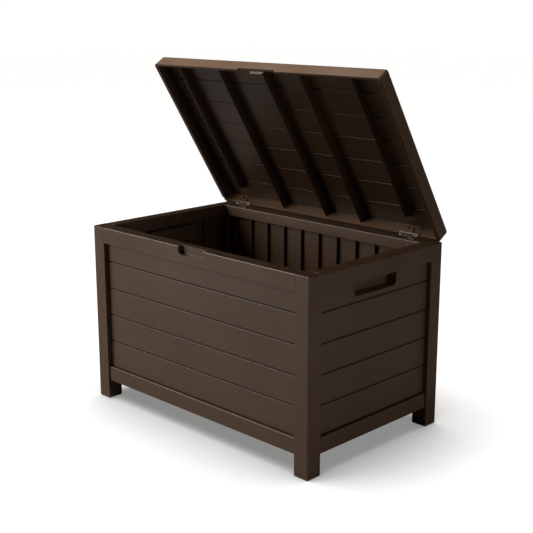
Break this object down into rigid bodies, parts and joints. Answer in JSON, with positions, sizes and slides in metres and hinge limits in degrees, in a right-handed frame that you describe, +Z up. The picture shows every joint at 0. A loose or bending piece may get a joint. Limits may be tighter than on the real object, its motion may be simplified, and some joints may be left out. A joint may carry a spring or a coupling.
{
  "type": "deck storage box",
  "caption": "Free-standing resin deck storage box with horizontal plank-look walls, square corner posts as feet, side hand slots and a rear-hinged flat lid shown open.",
  "frame": {"origin": "on the ground, at the middle of the outer box that holds the body and the open lid", "axes": "+X to the right along the front, +Y from front to back, +Z up"},
  "size_m": [0.62, 0.4062, 0.7245],
  "materials": {
    "frame_resin": "fine-grained matt moulded resin, dark brown",
    "panel_resin": "matt moulded resin with a faint wood grain along each board, dark brown",
    "inner_resin": "smooth matt moulded resin, dark brown",
    "lid_resin": "matt moulded resin with a faint wood grain, dark brown",
    "fitting_resin": "smooth satin moulded resin, dark brown",
    "plated_steel": "zinc-plated steel"
  },
  "bodies": {
    "box": {"corner_post_front_left": "frame_resin", "corner_post_front_right": "frame_resin", "corner_post_rear_left": "frame_resin", "corner_post_rear_right": "frame_resin", "front_top_rail": "frame_resin", "rear_top_rail": "frame_resin", "left_top_rail": "frame_resin", "right_top_rail": "frame_resin", "rear_rail_end_left": "frame_resin", "rear_rail_end_right": "frame_resin", "front_bottom_rail": "frame_resin", "rear_bottom_rail": "frame_resin", "left_bottom_rail": "frame_resin", "right_bottom_rail": "frame_resin", "front_wall_panel": "panel_resin", "rear_wall_panel": "panel_resin", "left_wall_panel": "panel_resin", "right_wall_panel": "panel_resin", "floor_panel": "inner_resin", "hinge_ear_left": "fitting_resin", "hinge_ear_right": "fitting_resin", "hinge_ear_screw_left": "plated_steel", "hinge_ear_screw_right": "plated_steel"},
    "lid": {"lid_shell": "lid_resin", "hinge_leaf_left": "fitting_resin", "hinge_leaf_right": "fitting_resin", "hinge_pin_left": "plated_steel", "hinge_pin_right": "plated_steel", "hinge_leaf_screw_left": "plated_steel", "hinge_leaf_screw_right": "plated_steel", "lid_catch": "fitting_resin", "lid_catch_screw_left": "plated_steel", "lid_catch_screw_right": "plated_steel"}
  },
  "joints": [
    {"name": "lid_hinge", "type": "hinge", "parent": "box", "child": "lid", "pos_m": [0, 0.18086, 0.387], "axis": [-1, 0, 0], "range_deg": [-58, 46]}
  ]
}
